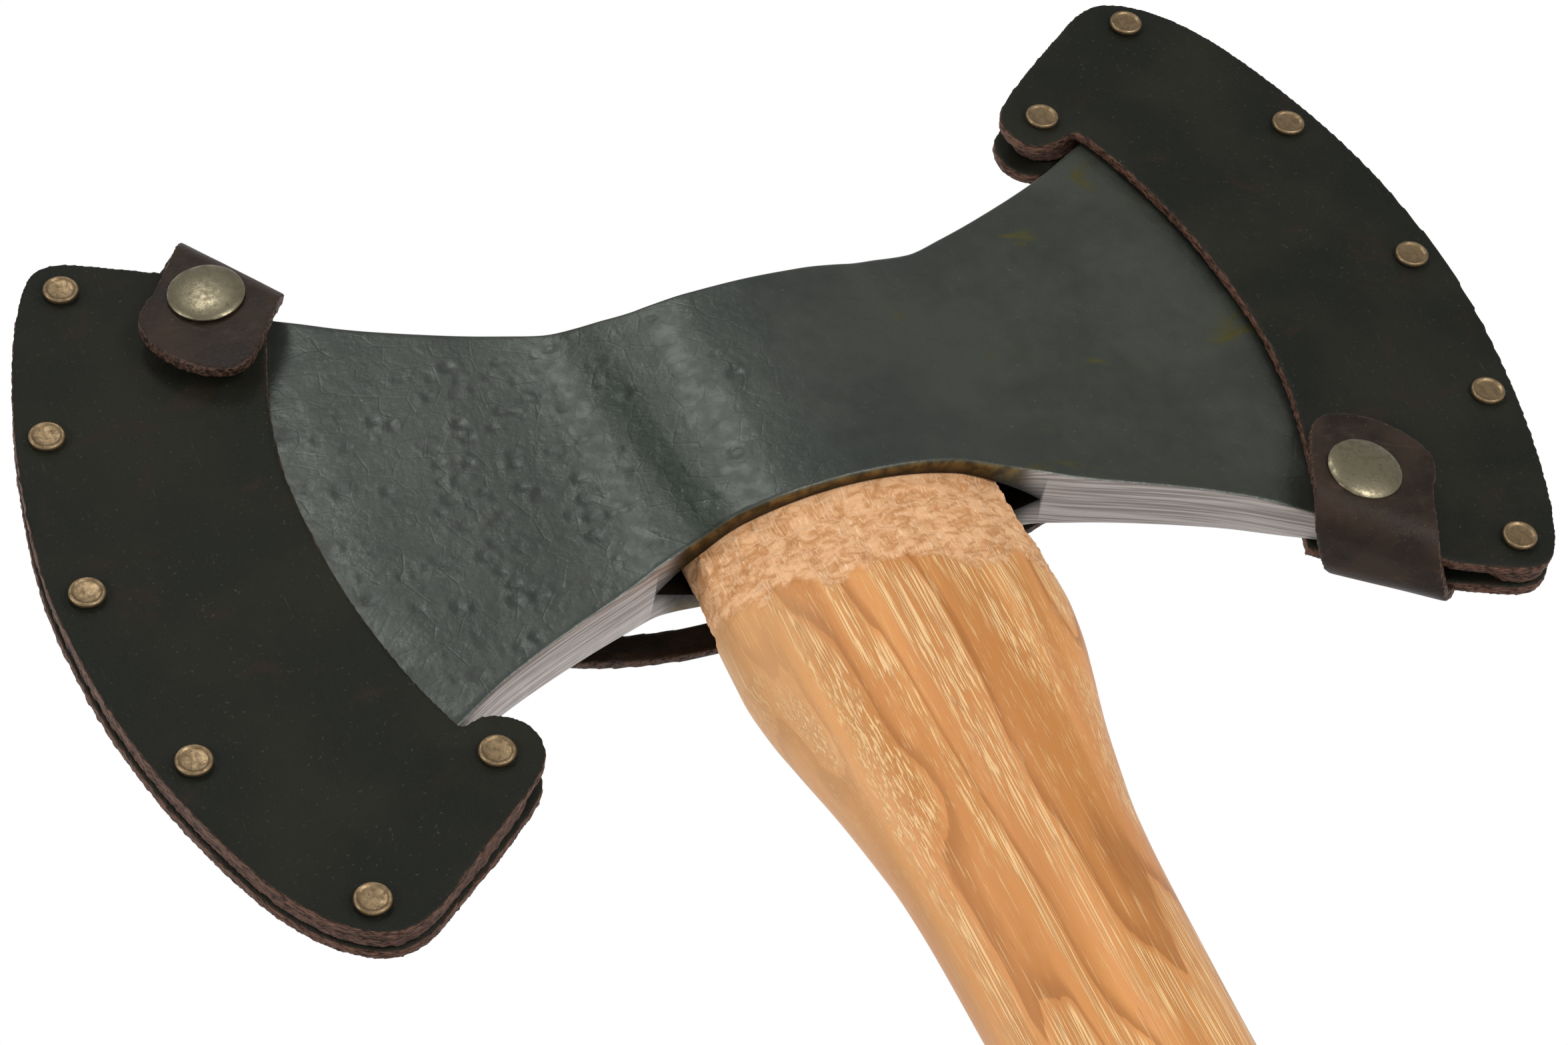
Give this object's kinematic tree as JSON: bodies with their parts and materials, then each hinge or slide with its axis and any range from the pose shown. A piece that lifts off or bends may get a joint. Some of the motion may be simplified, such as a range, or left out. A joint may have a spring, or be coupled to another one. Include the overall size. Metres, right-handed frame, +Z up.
{
  "type": "felling axe",
  "caption": "Double-bit felling axe with a straight wooden handle and a riveted leather cover over each bit, closed by snap tongues.",
  "frame": {"origin": "centre of the flat butt face of the handle", "axes": "+Z up along the handle to the head, X from bit to bit, -Y the face that carries the snaps"},
  "size_m": [0.2946, 0.0429, 0.962],
  "materials": {
    "forged_steel": "blackened forged scale, ground bare on the rims",
    "handle_wood": "oiled hickory, rasped below the head",
    "wedge_wood": "bare wood",
    "brown_leather": "oiled brown leather",
    "dark_leather": "matt oiled leather",
    "edge_leather": "raw cut leather",
    "antique_brass": "antique, worn"
  },
  "bodies": {
    "axe": {"axe_head": "forged_steel", "handle": "handle_wood", "eye_wedge": "wedge_wood", "connecting_strap": "brown_leather"},
    "left_cover": {"left_front_panel": "dark_leather", "left_back_panel": "dark_leather", "left_welt": "edge_leather", "left_rivet_1": "antique_brass", "left_rivet_2": "antique_brass", "left_rivet_3": "antique_brass", "left_rivet_4": "antique_brass", "left_rivet_5": "antique_brass", "left_rivet_6": "antique_brass", "left_snap_post": "antique_brass", "left_snap_stud": "antique_brass", "left_strap_rivet": "antique_brass"},
    "right_cover": {"right_front_panel": "dark_leather", "right_back_panel": "dark_leather", "right_welt": "edge_leather", "right_rivet_1": "antique_brass", "right_rivet_2": "antique_brass", "right_rivet_3": "antique_brass", "right_rivet_4": "antique_brass", "right_rivet_5": "antique_brass", "right_rivet_6": "antique_brass", "right_snap_post": "antique_brass", "right_snap_stud": "antique_brass", "right_strap_rivet": "antique_brass"},
    "left_flap": {"left_tongue": "brown_leather", "left_snap_cap": "antique_brass", "left_snap_socket": "antique_brass"},
    "right_flap": {"right_tongue": "brown_leather", "right_snap_cap": "antique_brass", "right_snap_socket": "antique_brass"}
  },
  "joints": [
    {"name": "left_cover_slide", "type": "slide", "parent": "axe", "child": "left_cover", "axis": [-0.766, 0, -0.6428], "range_m": [0, 0.06], "deforming": ["connecting_strap", "left_tongue"]},
    {"name": "right_cover_slide", "type": "slide", "parent": "axe", "child": "right_cover", "axis": [0.766, 0, 0.6428], "range_m": [0, 0.06], "deforming": ["connecting_strap", "right_tongue"]},
    {"name": "left_tongue_hinge", "type": "hinge", "parent": "left_cover", "child": "left_flap", "pos_m": [-0.09044, -0.00966, 0.9321], "axis": [-0.706, 0.0936, 0.702], "range_deg": [0, 120], "deforming": ["left_tongue"]},
    {"name": "right_tongue_hinge", "type": "hinge", "parent": "right_cover", "child": "right_flap", "pos_m": [0.09044, -0.00966, 0.8099], "axis": [0.706, 0.0936, -0.702], "range_deg": [0, 120], "deforming": ["right_tongue"]}
  ]
}
